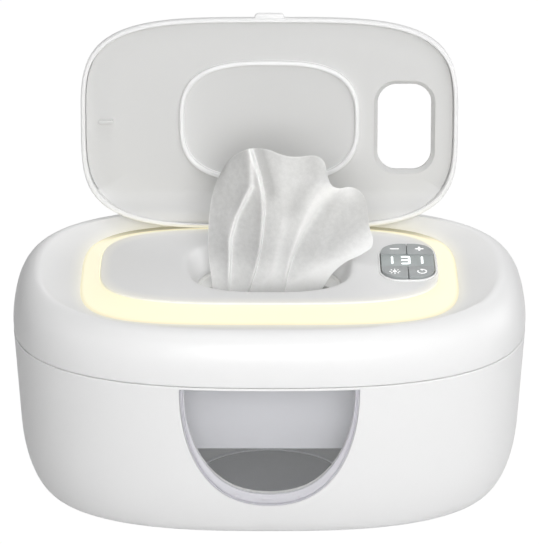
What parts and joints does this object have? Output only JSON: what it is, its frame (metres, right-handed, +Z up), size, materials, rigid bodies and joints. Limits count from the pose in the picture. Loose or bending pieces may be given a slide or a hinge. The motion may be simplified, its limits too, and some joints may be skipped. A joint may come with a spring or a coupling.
{
  "type": "baby wipe warmer",
  "caption": "Table-top baby wipe warmer: oval case with a clear front window, lit deck with a dispensing slot and four keys, and a hinged lid leaning open behind a white wipe.",
  "frame": {"origin": "on the table under the middle of the case", "axes": "+X to the user's right across the front, +Y to the rear, +Z up; the window faces -Y"},
  "size_m": [0.24, 0.1493, 0.211],
  "materials": {
    "white_abs": "moulded, fine satin gloss",
    "white_liner": "moulded, fine matt",
    "grey_keys": "moulded, satin",
    "lit_diffuser": "milky translucent diffuser, lit warm white",
    "silicone": "soft matt silicone",
    "foot_rubber": "matt rubber",
    "clear_lens": "clear moulded plastic, polished",
    "frosted_frame": "clear moulded plastic, polished edges",
    "display_tint": "tinted clear plastic",
    "pad_foam": "dark grey foam, fine pores",
    "pad_trim": "moulded satin",
    "basket_plastic": "pale grey moulded plastic",
    "wipe_cloth": "white non-woven cloth, moist",
    "circuit_board": "glass-epoxy laminate with solder mask",
    "lamp_resin": "clear resin over a warm phosphor",
    "black_plastic": "moulded black plastic",
    "steel": "bright steel",
    "heater_aluminium": "rolled sheet, satin",
    "polyimide": "amber film with etched tracks",
    "felt": "white needle felt",
    "wire_insulation": "red insulation"
  },
  "bodies": {
    "base": {"lower_shell": "white_abs", "feet": "foot_rubber", "window_frame": "frosted_frame", "window_lens": "clear_lens", "window_gasket": "silicone", "moisture_pad": "pad_foam", "pad_ring": "pad_trim", "wipe_basket": "basket_plastic", "wipe_stack": "wipe_cloth", "rim_seal": "silicone", "rear_hinge_pin": "steel"},
    "top": {"upper_shell": "white_abs", "deck": "white_abs", "light_ring": "lit_diffuser", "lamp_board": "circuit_board", "lamps": "lamp_resin", "electrics_cover": "white_liner", "insulation": "felt", "heater_film": "polyimide", "heater_plate": "heater_aluminium", "thermal_fuse": "steel", "temperature_sensor": "black_plastic", "wipe_gate": "silicone", "keypad_bezel": "white_abs", "display_lens": "display_tint", "display_module": "black_plastic", "control_board": "circuit_board", "key_switches": "black_plastic", "main_board": "circuit_board", "power_parts": "black_plastic", "wires": "wire_insulation", "dc_jack": "black_plastic", "cover_screws": "steel", "deck_screws": "steel", "wipe": "wipe_cloth"},
    "lid": {"lid_shell": "white_abs", "lid_liner": "white_liner", "lid_seal": "silicone", "lid_hinge_pin": "steel"},
    "minus_key": {"minus_button": "grey_keys"},
    "plus_key": {"plus_button": "grey_keys"},
    "light_key": {"light_button": "grey_keys"},
    "power_key": {"power_button": "grey_keys"}
  },
  "joints": [
    {"name": "rear_hinge", "type": "hinge", "parent": "base", "child": "top", "pos_m": [0, 0.0736, 0.0842], "axis": [1, 0, 0], "range_deg": [-75, 0]},
    {"name": "lid_hinge", "type": "hinge", "parent": "top", "child": "lid", "pos_m": [0, 0.0472, 0.1128], "axis": [1, 0, 0], "range_deg": [0, 102.6], "deforming": ["wipe"]},
    {"name": "minus_press", "type": "slide", "parent": "top", "child": "minus_key", "axis": [0, 0, -1], "range_m": [0, 0.0008], "stiffness_N_per_m": 400},
    {"name": "plus_press", "type": "slide", "parent": "top", "child": "plus_key", "axis": [0, 0, -1], "range_m": [0, 0.0008], "stiffness_N_per_m": 400},
    {"name": "light_press", "type": "slide", "parent": "top", "child": "light_key", "axis": [0, 0, -1], "range_m": [0, 0.0008], "stiffness_N_per_m": 400},
    {"name": "power_press", "type": "slide", "parent": "top", "child": "power_key", "axis": [0, 0, -1], "range_m": [0, 0.0008], "stiffness_N_per_m": 400}
  ]
}
